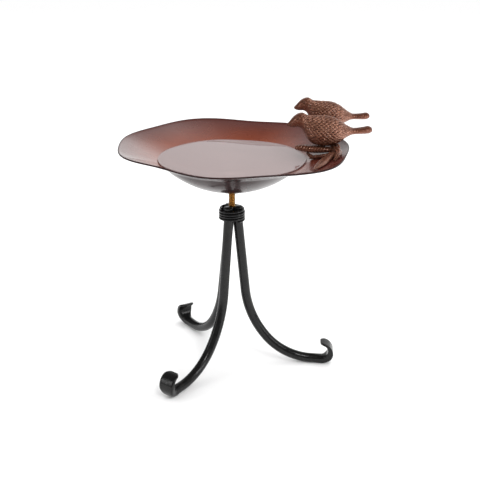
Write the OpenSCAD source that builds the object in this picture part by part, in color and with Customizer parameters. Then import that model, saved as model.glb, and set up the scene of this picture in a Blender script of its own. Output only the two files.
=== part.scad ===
// Table-top bird bath: a hand-beaten dish with two cast birds on a leafy perch,
// carried by a threaded rod on a tripod of three bent bars bound with wire.
// Millimetres, +Z up. The origin is on the ground, on the axis of the rod.

/* [Stand] */
// Height of the sawn tops of the three bars
stand_h = 243.5; // [200:1:300]
// Distance from the axis to where each foot first meets the ground
foot_r = 125; // [100:1:160]
// Diameter of the round bar that each leg is bent from
bar_d = 13.8; // [10:0.5:16]
// Centreline radius of the long upper bend of a leg
upper_bend_r = 140; // [110:1:170]
// Centreline radius of the lower bend of a leg
lower_bend_r = 92; // [75:1:110]
// Centreline radius of the small bend where the bars come together
gather_bend_r = 60; // [40:1:80]
// Angle from the vertical where the upper bend meets the lower one
knee_angle = 40.6; // [35:0.1:46]
// Length over which the three bars stand side by side
bundle_h = 15; // [12:1:25]
// Direction of the right leg about the axis
stand_turn = -5; // [-20:1:20]
// Depth of the tapped hole drilled down between the bars
socket_depth = 18; // [12:1:25]

/* [Scroll feet] */
// Width of the flattened end of a bar
strip_w = 24; // [18:1:30]
// Height of the curled end
scroll_h = 35.5; // [30:0.5:42]
// Thickness where the end starts to curl
strip_root = 12.5; // [9:0.5:14]
// Thickness at the tip of the curl
strip_tip = 3; // [2:0.5:4]
// Length of the foot along the ground before it curls up
tread_l = 11; // [8:0.5:16]

/* [Binding wire] */
// Diameter of the binding wire
wire_d = 3.4; // [2.5:0.1:5]
// Number of turns of the binding wire
wire_turns = 4.75; // [3:0.25:6]

/* [Rod] */
// Outside diameter of the threaded rod
rod_d = 9.5; // [6:0.5:11]
// Free length of rod between the bar tops and the flange
rod_free = 22; // [10:0.5:40]
// Distance that one turn moves the rod
thread_pitch = 1.5875; // [1:0.0001:2]

/* [Dish] */
// Mean radius of the rim
rim_r = 161; // [130:1:200]
// Height of the rim above the bottom of the dish
dish_h = 61.5; // [50:0.5:75]
// Outside radius of the round bottom
bowl_r = 139; // [125:1:165]
// Radius where the round bottom starts to turn into the flare
bowl_edge = 95; // [80:1:105]
// Thickness of the sheet
sheet_t = 1.6; // [1:0.1:3]
// Thickness of the dressed edge of the rim
edge_t = 2.4; // [1:0.1:4]
// How far the hand-beaten rim wanders from a circle
rim_wander = 1; // [0:0.1:1.3]
// Diameter of the brazed flange
flange_d = 33; // [24:1:50]
// Thickness of the brazed flange
flange_t = 3.2; // [2:0.1:6]

/* [Birds and perch] */
// Size of the front bird, where 1 is 116 mm from beak to tail
front_bird_size = 1; // [0.8:0.01:1.1]
// Size of the back bird on the same scale
back_bird_size = 0.92; // [0.8:0.01:1]
// Distance between the two birds, middle to middle
bird_gap = 44; // [42:1:60]
// Thickness of the bird's perch stem
stem_d = 8; // [5:0.5:10]

/* [Hidden] */
$fn = 48;

fit_gap = 0.04;          // radial clearance of a running thread
seat_gap = 0.3;          // axial clearance at a seat
bar_r = bar_d / 2;
bar_gap = 0.6;           // space between two bars in the bundle
bundle_r = (bar_d + bar_gap) / sqrt(3);
wire_pitch = wire_d * 1.08;
wire_coil_r = bundle_r + bar_r + wire_d / 2 + 0.1;
wire_top = stand_h - 1;
wire_low = wire_top - wire_turns * wire_pitch - wire_d;

gather_z = stand_h - bundle_h;
socket_z = stand_h - socket_depth;
rod_low = socket_z + seat_gap;
flange_z = stand_h + rod_free;
dish_z = flange_z + flange_t;
rod_top = dish_z - seat_gap;

// Each leg is bent by hand: its foot lands a little nearer or farther than foot_r,
// and it leaves its place in the bundle a little off its third of the circle.
leg_reach = [for (more = [-3, 6, -2]) foot_r + more];
leg_splay = [0.2, 5.6, -2.8];

function lower_centre(reach) = [reach, bar_r + lower_bend_r];
function upper_centre(reach) = lower_centre(reach)
    + (upper_bend_r - lower_bend_r) * [cos(knee_angle), sin(knee_angle)];

// Lean of the straight middle of a leg: the common tangent of its bends
function leg_lean(reach) =
    let (across = upper_centre(reach) - [bundle_r + gather_bend_r, 0])
    let (rise = gather_z - across[1])
    acos((upper_bend_r - gather_bend_r) / norm([across[0], rise])) - atan2(rise, across[0]);

scroll_r = scroll_h / 2;
scroll_hole_r = (scroll_h - strip_root - strip_tip) / 2;
scroll_angle = 186;      // the curl passes a little over the top
tread_spread = 0.6;      // how far the foot widens before it curls
tread_flat = 0.35;       // how flat its under side is by then
top_chamfer = 1.2;       // chamfer of the sawn bar tops

rim_steps = 80;
bottom_flat = 17;        // radius of the flat under the dish, where the flange sits
lobe_start = 0.5;        // share of the rim radius where the lobes begin
bowl_sag = bowl_r - sqrt(bowl_r * bowl_r - bottom_flat * bottom_flat);
turn_from = asin(bowl_edge / bowl_r);
turn_to = 20;            // slope of the flare
turn_r = 28;             // radius of the turn between bowl and flare
turn_end = bowl_edge + turn_r * (sin(turn_from) - sin(turn_to));
turn_end_z = bowl_z(bowl_edge) + turn_r * (cos(turn_to) - cos(turn_from));
flare_slope = (dish_h - turn_end_z) / (rim_r - turn_end);

// Waves of the rim: [number round the rim, size, direction of the crest]
rim_waves = [
    [1, 3, 2], [2, 6.6, -52], [4, 2.5, 25], [5, 4, -33], [7, 3.8, 2]
];

// Height of the outside of the round bottom above the bottom of the dish
function bowl_z(r) =
    r < bottom_flat ? 0 : bowl_r - sqrt(bowl_r * bowl_r - r * r) - bowl_sag;

// Height of the outside of the dish at a radius, before the rim's waves
function dish_profile(r) =
    r < bowl_edge ? bowl_z(r)
    : r < turn_end ? bowl_z(bowl_edge)
        + sqrt(turn_r * turn_r - pow(turn_r * sin(turn_from) - (r - bowl_edge), 2))
        - turn_r * cos(turn_from)
    : turn_end_z + flare_slope * (r - turn_end);

function rim_wave(a) = rim_wander * sum([for (w = rim_waves) w[1] * cos(w[0] * (a - w[2]))]);
function sum(v, i = 0) = i < len(v) ? v[i] + sum(v, i + 1) : 0;
function ease(t) = t <= 0 ? 0 : t >= 1 ? 1 : t * t * (3 - 2 * t);

// The rim's waves fade out towards the middle of the dish
function lobe_share(r) = ease((r / rim_r - lobe_start) / (1 - lobe_start));

// A point of the dish: radius before the waves, direction, height above the outside
function dish_point(r, a, lift) =
    let (out = r + lobe_share(r) * rim_wave(a))
    [out * cos(a), out * sin(a), dish_z + dish_profile(r) + lift];

// Radii of the rings from the middle of the dish to the rim
dish_radii = concat(
    [for (k = [0 : 6]) bottom_flat + k * (bowl_edge - bottom_flat) / 6],
    [for (k = [1 : 3]) bowl_edge + k * (turn_end - bowl_edge) / 3],
    [for (k = [1 : 4]) turn_end + k * (rim_r - turn_end) / 4]
);

// One closed solid through rings that each have the same number of points
module loft(rings) {
    n = len(rings[0]);
    last = len(rings) - 1;
    points = [for (ring = rings) each ring];
    sides = [for (k = [0 : last - 1]) for (i = [0 : n - 1])
        each [
            [k * n + i, (k + 1) * n + (i + 1) % n, (k + 1) * n + i],
            [k * n + i, k * n + (i + 1) % n, (k + 1) * n + (i + 1) % n]
        ]];
    low = [[for (i = [n - 1 : -1 : 0]) i]];
    high = [[for (i = [0 : n - 1]) last * n + i]];
    polyhedron(points, concat(sides, low, high), convexity = 6);
}

function unit(v) = v / norm(v);
function tangent(path, k) =
    unit(path[min(k + 1, len(path) - 1)] - path[max(k - 1, 0)]);

// Rings of an oval section along a path; sizes holds [half width, half thickness]
function limb_rings(path, sizes, sides) = [
    for (k = [0 : len(path) - 1])
        let (t = tangent(path, k))
        let (side = unit(cross([0, 0, 1], t)))
        let (up = cross(t, side))
        [for (i = [0 : sides - 1])
            let (a = -360 * i / sides)
            path[k] + sizes[k][0] * cos(a) * side + sizes[k][1] * sin(a) * up]
];
module limb(path, sizes, sides = 12) {
    loft(limb_rings(path, sizes, sides));
}

// ---------------------------------------------------------------- stand

// A section of a leg is [under side, upper side, half width, flatness], with the
// two sides as points [distance from the axis, height] in the leg's own plane.

// Section of the round bar; lean is the angle of the bar from the vertical
function bar_section(centre, lean, radius = bar_r) =
    let (up = radius * [cos(lean), sin(lean)])
    [centre - up, centre + up, radius, 0];

function bend_sections(centre, radius, from, to, steps) = [
    for (k = [0 : steps])
        let (lean = from + (to - from) * k / steps)
        bar_section(centre - radius * [cos(lean), sin(lean)], lean)
];

// The foot lies along the ground and starts to flatten
function tread_sections(reach, steps) = [
    for (k = [1 : steps])
        let (share = k / steps)
        [
            [reach + tread_l * share, 0],
            [reach + tread_l * share, bar_d + (strip_root - bar_d) * share],
            bar_r + tread_spread * share, tread_flat * share
        ]
];

// The curl: its outside is one half circle, and the bar is beaten out to a thin
// strip with a rounded tip on the way round
function scroll_sections(reach, steps) = [
    for (k = [1 : steps])
        let (share = k / steps)
        let (turn = -90 + scroll_angle * share)
        let (way = [cos(turn), sin(turn)])
        let (beaten = ease(share / 0.5))
        let (wide = bar_r + tread_spread + (strip_w / 2 - bar_r - tread_spread) * beaten)
        let (near_tip = max(0, (share - 0.75) / 0.25))
        [
            [reach + tread_l, scroll_r] + scroll_r * way,
            [reach + tread_l, strip_root + scroll_hole_r] + scroll_hole_r * way,
            wide * sqrt(1 - 0.7 * pow(near_tip, 3)), tread_flat + (1 - tread_flat) * beaten
        ]
];

function leg_sections(reach) =
    let (lean = leg_lean(reach))
    concat(
        [bar_section([bundle_r, stand_h], 0, bar_r - top_chamfer)],
        [bar_section([bundle_r, stand_h - top_chamfer], 0)],
        bend_sections([bundle_r + gather_bend_r, gather_z], gather_bend_r, 0, lean, 2),
        bend_sections(upper_centre(reach), upper_bend_r, lean, knee_angle, 8),
        bend_sections(lower_centre(reach), lower_bend_r, knee_angle, 90, 10),
        tread_sections(reach, 3),
        scroll_sections(reach, 15)
    );

// Ring of points of one section: an oval, squared off where the bar is flat
function leg_ring(section, sides) =
    let (middle = (section[0] + section[1]) / 2)
    let (up = (section[1] - section[0]) / 2)
    let (power = 1 - 0.6 * section[3])
    let (spread = 1 + 0.12 * section[3])
    [for (i = [0 : sides - 1])
        let (a = 360 * (i + 0.5) / sides)
        let (across = sign(cos(a)) * pow(abs(cos(a)), power))
        let (rise = sign(sin(a)) * min(1, spread * pow(abs(sin(a)), power)))
        [middle[0] + rise * up[0], section[2] * across, middle[1] + rise * up[1]]];

module leg(index) {
    color([0.10, 0.10, 0.10])
        difference() {
            rotate([0, 0, stand_turn + 120 * index])
                translate([bundle_r, 0, 0])
                    rotate([0, 0, leg_splay[index]])
                        translate([-bundle_r, 0, 0])
                            loft([for (section = leg_sections(leg_reach[index])) leg_ring(section, 20)]);
            translate([0, 0, socket_z])
                cylinder(d = rod_d + 2 * fit_gap, h = socket_depth + 1);
        }
}

// The wire is wound close round the bundle and both ends are cut square
module binding_wire() {
    per_turn = 24;
    steps = round(wire_turns * per_turn);
    path = [for (k = [0 : steps])
        let (a = 360 * k / per_turn - 60)
        [
            wire_coil_r * cos(a), wire_coil_r * sin(a),
            wire_low + wire_d / 2 + wire_pitch * k / per_turn
        ]];
    color([0.08, 0.08, 0.08])
        limb(path, [for (p = path) [wire_d / 2, wire_d / 2]], 8);
}

// ---------------------------------------------------------------- rod and dish

// Both ends are chamfered to the root of the thread
module threaded_rod() {
    rod_r = rod_d / 2;
    tip = 0.6134 * thread_pitch;
    color([0.72, 0.50, 0.22])
        rotate_extrude()
            polygon([
                [0, rod_low], [rod_r - tip, rod_low], [rod_r, rod_low + tip],
                [rod_r, rod_top - tip], [rod_r - tip, rod_top], [0, rod_top]
            ]);
}

module dish_flange() {
    color([0.30, 0.22, 0.18])
        difference() {
            translate([0, 0, flange_z])
                cylinder(d = flange_d, h = flange_t);
            translate([0, 0, flange_z - 1])
                cylinder(d = rod_d + 2 * fit_gap, h = flange_t + 2);
        }
}

module dish() {
    inside = [for (k = [0 : len(dish_radii) - 1])
        [for (i = [0 : rim_steps - 1])
            let (r = dish_radii[k])
            let (edge = ease((r / rim_r - 0.97) / 0.03))
            dish_point(r - sheet_t * r / bowl_r, 360 * i / rim_steps,
                sheet_t + (edge_t - sheet_t) * edge)]];
    outside = [for (k = [len(dish_radii) - 1 : -1 : 0])
        [for (i = [0 : rim_steps - 1])
            dish_point(dish_radii[k], 360 * i / rim_steps, 0)]];
    color([0.55, 0.36, 0.28])
        loft(concat(inside, outside));
}

// ---------------------------------------------------------------- perch

// Height of the inside of the dish over a point of the ground plan
function flare_z(x, y) =
    let (out = norm([x, y]))
    let (wave = rim_wave(atan2(y, x)))
    let (guess = out - lobe_share(out) * wave)
    let (better = out - lobe_share(guess) * wave)
    dish_z + dish_profile(out - lobe_share(better) * wave) + sheet_t;

// A point a little above the inside of the dish
function above_flare(x, y, lift) = [x, y, flare_z(x, y) + lift];

bird_x = 134.8;           // the birds' bellies are this far from the axis
bird_y = -4;             // middle of the front bird
back_y = bird_y + bird_gap;
stem_r = stem_d / 2;
front_perch_x = bird_x + 3;
back_perch_x = bird_x + 4;
back_lift = 14;          // the back bird's perch stands this much above the flare
back_tilt = 3;           // and it leans back by this angle

module perch_stem() {
    path = [
        above_flare(134, -72, 1), above_flare(139, -61, 3.5),
        above_flare(142, -46, stem_r + 0.4), above_flare(142, -31, stem_r + 1),
        above_flare(140, -18, stem_r + 1), above_flare(front_perch_x, bird_y, stem_r + 0.4),
        above_flare(140, 13, stem_r + 3), above_flare(141, 28, stem_r + 7),
        above_flare(back_perch_x, back_y, back_lift), above_flare(138, back_y + 9, back_lift - 2)
    ];
    radii = [1.4, 3.4, 5, 5.2, 4.8, 4.2, 3.8, 3.6, 3.4, 1.6];
    color([0.36, 0.22, 0.17])
        limb(path, [for (r = radii) [r, r] * stem_d / 8]);
}

// The prop carries the far end of the stem on the flare
module perch_prop() {
    path = [
        above_flare(147, back_y + 1, 0), above_flare(145, back_y, 5),
        above_flare(back_perch_x, back_y - 1, back_lift - 2)
    ];
    color([0.36, 0.22, 0.17])
        limb(path, [[4.2, 4.2], [2.8, 2.8], [2.4, 2.4]]);
}

module ribbed_leaf() {
    tip_z = above_flare(140, -14, 3)[2];
    path = [
        [88, -2, tip_z + 0.4], [95, -3, tip_z + 0.2], [108, -4.5, tip_z - 0.8],
        [120, -7, tip_z - 0.8], [131, -10, tip_z - 0.6], [140, -14, tip_z]
    ];
    color([0.50, 0.33, 0.25])
        limb(path, [[3.4, 2.6], [6, 4.2], [8.4, 5], [8.4, 5], [6, 4], [2.8, 2.8]]);
}

module pointed_leaf() {
    path = [
        above_flare(105, -102, 1.4), above_flare(110, -92, 2.6), above_flare(118, -76, 3.4),
        above_flare(125, -60, 3.6), above_flare(134, -47, 3.6), above_flare(142, -38, 4)
    ];
    color([0.50, 0.33, 0.25])
        limb(path, [[0.8, 0.6], [4, 1.8], [6.2, 2.8], [5.8, 3.2], [4, 3], [2.4, 2.4]]);
}

module forked_twig() {
    fork = above_flare(112, -18, 2.8);
    stem_path = [
        above_flare(142, -37, 4), above_flare(127, -34, 3.2), fork,
        above_flare(107, -14, 2.4)
    ];
    tine_path = [fork, [107, -8, fork[2] + 0.5], [104, 2, fork[2] + 2.5]];
    color([0.40, 0.24, 0.18])
        union() {
            limb(stem_path, [[2.4, 2.4], [2.8, 2.8], [2.5, 2.5], [1.3, 1.3]], 10);
            limb(tine_path, [[1.9, 1.9], [2.2, 2.2], [1.5, 1.5]], 10);
        }
}

module tendril() {
    path = [
        above_flare(140, -12, 8.6), above_flare(144, -22, 10.5), above_flare(145, -34, 8.5),
        above_flare(143.5, -46, 4.5), above_flare(140, -55, 3.4)
    ];
    color([0.55, 0.40, 0.30])
        limb(path, [for (p = path) [1.1, 1.1]], 8);
}

// ---------------------------------------------------------------- birds

// Sections of a bird from beak to tail: [along, top, bottom, half width].
// They count from the lowest point of the belly of a bird of size 1.
bird_sections = [
    [-59, 30.6, 28.4, 1.2], [-57.2, 32.6, 27, 2.8], [-54.8, 35.6, 26.2, 4.8],
    [-52.4, 38.6, 25.8, 6.9], [-49.5, 41.6, 25.8, 8.6], [-44.5, 44.9, 26, 10.6], [-39.5, 45.8, 23.4, 12.2],
    [-35, 44.2, 16, 14], [-30, 41.8, 8.6, 16.2], [-23, 41.4, 3, 18.6], [-16, 41.4, 1, 20],
    [-6, 41.2, 0, 21], [4, 39.2, 1, 20.4], [13, 35, 5.4, 17.6],
    [21, 29.6, 11, 13.4], [28, 25.8, 14.8, 9.6], [34, 24.6, 16, 8.2],
    [45, 25.8, 16.4, 8.6], [52.5, 27.2, 17, 8.2], [57, 25, 19, 5.4]
];

module bird(size) {
    sides = 24;
    loft([for (s = bird_sections)
        [for (i = [0 : sides - 1])
            let (a = -360 * i / sides)
            size * [
                s[0],
                -s[3] * cos(a),
                (s[1] + s[2]) / 2 + (s[1] - s[2]) / 2 * sin(a)
            ]]]);
}

front_bird_at = above_flare(bird_x, bird_y, stem_d + 0.6);
back_bird_at = above_flare(bird_x + 4.5, back_y, back_lift + stem_r);

module bird_front() {
    color([0.45, 0.29, 0.22])
        translate(front_bird_at)
            bird(front_bird_size);
}

module bird_back() {
    color([0.45, 0.29, 0.22])
        translate(back_bird_at)
            rotate([0, back_tilt, 0])
                bird(back_bird_size);
}

// Two short wire legs that run from the belly into the stem
module bird_legs(at, perch_x, size) {
    leg_d = 2.4;
    spread = 2.2;
    rise = 5 * size;
    drop = stem_r;
    color([0.40, 0.25, 0.18])
        for (side = [-1, 1])
            translate([perch_x, at[1] + side * spread, at[2] - drop])
                cylinder(d = leg_d, h = drop + rise);
}

module bird_front_legs() { bird_legs(front_bird_at, front_perch_x, front_bird_size); }
module bird_back_legs() { bird_legs(back_bird_at, back_perch_x, back_bird_size); }

leg(0);  // leg_right
leg(1);  // leg_back_left
leg(2);  // leg_front_left
binding_wire();
threaded_rod();
dish_flange();
dish();
perch_stem();
perch_prop();
ribbed_leaf();
pointed_leaf();
forked_twig();
tendril();
bird_front();
bird_front_legs();
bird_back();
bird_back_legs();
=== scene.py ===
"""Table-top bird bath: a copper dish with two cast birds on a threaded rod and a tripod of bent bars.

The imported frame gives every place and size. Each sub-assembly is a class that builds its
detailed meshes over the frame's nodes, dresses them in a finish and sets them on their body.
All lengths are in metres, +Z is up and the rod's axis is the Z axis.
"""

import logging
import math
from collections.abc import Callable
from dataclasses import dataclass
from enum import Enum

import bpy
import numpy as np
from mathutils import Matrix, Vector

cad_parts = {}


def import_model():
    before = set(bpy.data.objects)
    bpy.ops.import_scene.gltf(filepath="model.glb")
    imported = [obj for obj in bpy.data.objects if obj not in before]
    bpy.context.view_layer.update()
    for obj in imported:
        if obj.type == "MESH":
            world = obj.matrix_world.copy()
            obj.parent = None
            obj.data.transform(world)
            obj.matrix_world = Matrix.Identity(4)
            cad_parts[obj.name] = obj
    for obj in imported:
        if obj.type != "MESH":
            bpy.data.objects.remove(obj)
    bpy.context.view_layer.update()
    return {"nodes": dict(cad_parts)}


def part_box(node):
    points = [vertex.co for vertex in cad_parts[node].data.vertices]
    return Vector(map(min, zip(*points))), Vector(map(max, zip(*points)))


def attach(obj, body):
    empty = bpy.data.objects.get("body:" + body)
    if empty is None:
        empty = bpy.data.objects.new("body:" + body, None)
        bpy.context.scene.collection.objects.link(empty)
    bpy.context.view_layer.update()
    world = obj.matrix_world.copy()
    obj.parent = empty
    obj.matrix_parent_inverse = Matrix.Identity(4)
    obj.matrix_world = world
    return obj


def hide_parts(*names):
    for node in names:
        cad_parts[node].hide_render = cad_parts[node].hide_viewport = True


log = logging.getLogger("bird_bath")
MM = 0.001
UP = np.array([0.0, 0.0, 1.0])
Colour = tuple[float, float, float]
Point = tuple[float, float, float]
Carving = Callable[[np.ndarray, float, np.ndarray], tuple[np.ndarray, np.ndarray]]
THREAD_PLAY = 0.00004  # Between the rod and the holes that it is screwed into
HUB = 0.0005  # Radius of the innermost ring of a round sheet


class Body(Enum):
    """Bodies of the frame that pieces ride on."""

    STAND = "stand"
    ROD = "rod"
    DISH = "dish"


class Slot(Enum):
    """Material slots of the record."""

    IRON = "black_iron"
    ROD = "brass_rod"
    DISH = "dish_copper"
    FLANGE = "flange_dark"
    CAST = "cast_copper"


# ---------------------------------------------------------------- shaping tools


def ease(share: np.ndarray | float) -> np.ndarray:
    """Runs smoothly from 0 to 1 as share does, and stays there outside.

    Args:
        share: How far along, usually from 0 to 1.

    Returns:
        The eased share.
    """
    held = np.clip(share, 0.0, 1.0)
    return held * held * (3.0 - 2.0 * held)


def bump(distance: np.ndarray | float, width: float) -> np.ndarray:
    """A smooth hill of height 1.

    Args:
        distance: Distance from the middle of the hill.
        width: Distance at which the hill has fallen to about a third.

    Returns:
        The height of the hill.
    """
    return np.exp(-((np.asarray(distance) / width) ** 2))


def scatter(first: np.ndarray, second: np.ndarray | float) -> np.ndarray:
    """A fixed value between 0 and 1 for each pair of cell numbers, which looks random.

    Args:
        first: Number of the cell one way.
        second: Number of the cell the other way.

    Returns:
        One value per cell.
    """
    mixed = np.sin(first * 12.9898 + second * 78.233) * 43758.5453
    return mixed - np.floor(mixed)


def smooth_run(points: list, step: float) -> np.ndarray:
    """A smooth curve through all the points, with even steps along it.

    Args:
        points: Rows of numbers. The first three columns of a row are its place.
        step: Length of a step along the curve.

    Returns:
        Rows like the points, at even steps.
    """
    rows = np.asarray(points, float)
    ends = np.vstack([2 * rows[0] - rows[1], rows, 2 * rows[-1] - rows[-2]])
    share = np.linspace(0, 1, 24, endpoint=False)[:, None]
    dense = []
    for before, start, stop, after in zip(ends, ends[1:], ends[2:], ends[3:]):
        dense.append(0.5 * (
            2 * start
            + (stop - before) * share
            + (2 * before - 5 * start + 4 * stop - after) * share**2
            + (3 * start - before - 3 * stop + after) * share**3
        ))
    curve = np.vstack([*dense, rows[-1:]])
    length = np.concatenate([[0], np.cumsum(np.linalg.norm(np.diff(curve[:, :3], axis=0), axis=1))])
    stops = np.linspace(0, length[-1], max(3, round(length[-1] / step) + 1))
    return np.stack([np.interp(stops, length, column) for column in curve.T], axis=1)


def tube_rings(run: np.ndarray, sides: int, relief: np.ndarray | float = 0.0) -> np.ndarray:
    """Rings of oval section along a run.

    Args:
        run: Rows of x, y, z, half width and half thickness.
        sides: Points of a ring.
        relief: Height above the oval, as one number or one per point of each ring.

    Returns:
        Points as an array of rings, sides and coordinates.
    """
    path = run[:, :3]
    along = np.gradient(path, axis=0)
    along /= np.linalg.norm(along, axis=1)[:, None]
    across = np.cross(UP, along)
    across /= np.linalg.norm(across, axis=1)[:, None]
    top = np.cross(along, across)
    angle = 2 * math.pi * np.arange(sides) / sides
    wide = run[:, 3:4] + relief
    thick = run[:, 4:5] + relief
    return (
        path[:, None]
        + (wide * np.cos(angle))[:, :, None] * across[:, None]
        + (thick * np.sin(angle))[:, :, None] * top[:, None]
    )


def skin(
    name: str, rings: np.ndarray, relief: np.ndarray | None = None, hoop: bool = False
) -> bpy.types.Object:
    """One closed mesh over rings of points.

    Args:
        name: Name of the piece.
        rings: Points as an array of rings, sides and coordinates.
        relief: Optional value per point from 0, in a recess, to 1, on a crest.
        hoop: Whether the last ring joins the first. Otherwise a fan closes each end.

    Returns:
        The new object.
    """
    count, sides, _ = rings.shape
    index = np.arange(count * sides).reshape(count, sides)
    if hoop:
        index = np.vstack([index, index[:1]])
    beside = np.roll(index, -1, axis=1)
    faces = np.stack([index[:-1], beside[:-1], beside[1:], index[1:]], axis=-1).reshape(-1, 4).tolist()
    points = rings.reshape(-1, 3)
    height = np.ones((count, sides)) if relief is None else relief
    height = height.reshape(-1)
    if not hoop:
        for end, order in ((0, 1), (-1, -1)):
            centre = len(points)
            points = np.vstack([points, rings[end].mean(axis=0)])
            height = np.append(height, height[index[end]].mean())
            loop = index[end][::order].tolist()
            faces += [(centre, after, before) for before, after in zip(loop, loop[1:] + loop[:1])]
    mesh = bpy.data.meshes.new(name)
    mesh.from_pydata(points.tolist(), [], faces)
    if signed_volume(mesh) < 0:
        mesh.flip_normals()
    mesh.shade_smooth()
    mesh.attributes.new("relief", "FLOAT", "POINT").data.foreach_set("value", height.astype(np.float32))
    piece = bpy.data.objects.new(name, mesh)
    bpy.context.scene.collection.objects.link(piece)
    return piece


def signed_volume(mesh: bpy.types.Mesh) -> float:
    """Volume of a closed mesh, which is negative if its faces look inwards.

    Args:
        mesh: The closed mesh.

    Returns:
        The volume in cubic metres.
    """
    mesh.calc_loop_triangles()
    points = np.zeros(len(mesh.vertices) * 3)
    mesh.vertices.foreach_get("co", points)
    corners = np.zeros(len(mesh.loop_triangles) * 3, np.int32)
    mesh.loop_triangles.foreach_get("vertices", corners)
    a, b, c = points.reshape(-1, 3)[corners.reshape(-1, 3)].transpose(1, 0, 2)
    return float(np.einsum("ij,ij->i", a, np.cross(b, c)).sum() / 6)


def join(name: str, pieces: list[bpy.types.Object]) -> bpy.types.Object:
    """Joins pieces into one object.

    Args:
        name: Name of the joined piece.
        pieces: The pieces, of which the first one stays.

    Returns:
        The joined object.
    """
    with bpy.context.temp_override(active_object=pieces[0], selected_editable_objects=pieces):
        bpy.ops.object.join()
    pieces[0].name = name
    return pieces[0]


def settle(piece: bpy.types.Object, finish: bpy.types.Material, slot: Slot, body: Body, *nodes: str) -> None:
    """Dresses a piece, sets it on its body and lets it stand for its nodes of the frame.

    Args:
        piece: The finished mesh.
        finish: Its material.
        slot: The record's material slot; not used.
        body: The body that it rides on.
        nodes: The nodes that it stands for.
    """
    piece.data.materials.clear()
    piece.data.materials.append(finish)
    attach(piece, body.value)
    if nodes:
        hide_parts(*nodes)
    log.info("%s: %d faces on %s", piece.name, len(piece.data.polygons), body.value)


# ---------------------------------------------------------------- finishes


class Graph:
    """A node tree with short ways to add and link nodes."""

    def __init__(self, tree: bpy.types.NodeTree) -> None:
        """Starts from an empty tree."""
        self.tree = tree
        tree.nodes.clear()

    def add(self, kind: str, values: dict | None = None, **settings: object) -> bpy.types.Node:
        """Adds a node.

        Args:
            kind: Blender's name of the node type.
            values: Sockets by name or number, each with a number, a colour or a socket to link.
            settings: Attributes of the node itself.

        Returns:
            The new node.
        """
        node = self.tree.nodes.new(kind)
        for key, setting in settings.items():
            setattr(node, key, setting)
        for key, value in (values or {}).items():
            self.put(node.inputs[key], value)
        return node

    def put(self, socket: bpy.types.NodeSocket, value: object) -> None:
        """Sets a socket's value, or links it if the value is another socket.

        Args:
            socket: The input socket.
            value: A number, a colour or the output socket to link.
        """
        if isinstance(value, bpy.types.NodeSocket):
            self.tree.links.new(value, socket)
        elif isinstance(value, tuple) and len(value) == 3 and socket.type == "RGBA":
            socket.default_value = (*value, 1.0)
        else:
            socket.default_value = value

    def noise(self, place: bpy.types.NodeSocket, scale: float, detail: float = 4.0) -> bpy.types.NodeSocket:
        """Adds soft noise.

        Args:
            place: Socket that gives the place.
            scale: Noise cells per metre.
            detail: Octaves of finer noise.

        Returns:
            The socket with the value.
        """
        return self.add("ShaderNodeTexNoise", {"Vector": place, "Scale": scale, "Detail": detail}).outputs[0]

    def ramp(
        self, value: bpy.types.NodeSocket, low: float, high: float,
        start: float | bpy.types.NodeSocket = 0.0, end: float | bpy.types.NodeSocket = 1.0,
    ) -> bpy.types.NodeSocket:
        """Maps a value from low..high to start..end, held at both ends.

        Args:
            value: Socket to map.
            low: Value that gives start.
            high: Value that gives end.
            start: Result at low.
            end: Result at high.

        Returns:
            The socket with the result.
        """
        sockets = {"Value": value, "From Min": low, "From Max": high, "To Min": start, "To Max": end}
        return self.add("ShaderNodeMapRange", sockets).outputs[0]

    def blend(self, share: object, first: object, second: object) -> bpy.types.NodeSocket:
        """Mixes two colours.

        Args:
            share: Share of the second colour.
            first: Colour or socket.
            second: Colour or socket.

        Returns:
            The socket with the mixed colour.
        """
        node = self.add("ShaderNodeMix", data_type="RGBA")
        for position, value in ((0, share), (6, first), (7, second)):
            self.put(node.inputs[position], value)
        return node.outputs[2]

    def math(self, operation: str, first: object, second: object) -> bpy.types.NodeSocket:
        """Adds a sum, product or other operation on two numbers.

        Args:
            operation: Blender's name of the operation.
            first: Number or socket.
            second: Number or socket.

        Returns:
            The socket with the result.
        """
        return self.add("ShaderNodeMath", {0: first, 1: second}, operation=operation).outputs[0]

    def place(self) -> bpy.types.NodeSocket:
        """The socket with the object's own coordinates, in metres."""
        return self.add("ShaderNodeTexCoord").outputs["Object"]


def effect(
    name: str, inputs: list[tuple[str, str, object]], outputs: list[tuple[str, str]]
) -> tuple[bpy.types.NodeTree, Graph, bpy.types.Node, bpy.types.Node]:
    """Starts a node group with named sockets.

    Args:
        name: Name of the group.
        inputs: Name, socket type and default of each input.
        outputs: Name and socket type of each output.

    Returns:
        The group, its graph, its input node and its output node.
    """
    group = bpy.data.node_groups.new(name, "ShaderNodeTree")
    graph = Graph(group)
    for label, kind, default in inputs:
        socket = group.interface.new_socket(label, in_out="INPUT", socket_type=kind)
        socket.default_value = (*default, 1.0) if isinstance(default, tuple) else default
    for label, kind in outputs:
        group.interface.new_socket(label, in_out="OUTPUT", socket_type=kind)
    return group, graph, graph.add("NodeGroupInput"), graph.add("NodeGroupOutput")


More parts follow.
